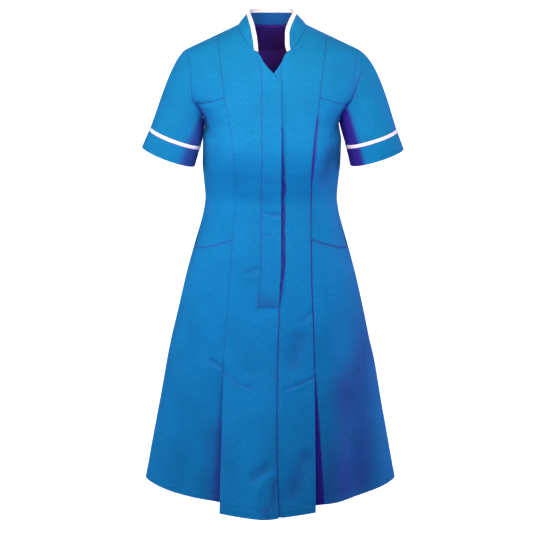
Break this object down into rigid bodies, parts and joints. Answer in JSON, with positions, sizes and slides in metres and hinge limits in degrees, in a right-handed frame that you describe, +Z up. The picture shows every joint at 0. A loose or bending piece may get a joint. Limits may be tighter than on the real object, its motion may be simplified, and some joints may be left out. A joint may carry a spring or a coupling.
{
  "type": "nurse uniform dress",
  "caption": "Knee-length short-sleeved nurse's dress, worn and hollow, with a stand collar, a covered front placket, slant pockets and pleats at the front seams.",
  "frame": {"origin": "between the shoulders, level with the points where the shoulder seams meet the neck, on the dress's middle plane", "axes": "+Z up out of the neck, -Y the way the dress's front faces, +X to the wearer's left"},
  "size_m": [0.5847, 0.4353, 1.0761],
  "materials": {
    "blue_polycotton": "matte twill with a faint sheen",
    "white_trim": "matte plain-weave braid"
  },
  "bodies": {
    "root": {"front_centre_right": "blue_polycotton", "front_centre_left": "blue_polycotton", "placket_band": "blue_polycotton", "side_yoke_right": "blue_polycotton", "side_yoke_left": "blue_polycotton", "side_front_right": "blue_polycotton", "side_front_left": "blue_polycotton", "side_skirt_right": "blue_polycotton", "side_skirt_left": "blue_polycotton", "pleat_underlay_right": "blue_polycotton", "pleat_underlay_left": "blue_polycotton", "back": "blue_polycotton", "back_neck_facing": "blue_polycotton", "sleeve_right": "blue_polycotton", "sleeve_left": "blue_polycotton", "cuff_right": "blue_polycotton", "cuff_left": "blue_polycotton", "sleeve_trim_right": "white_trim", "sleeve_trim_left": "white_trim", "collar": "blue_polycotton", "collar_trim": "white_trim"}
  },
  "joints": []
}
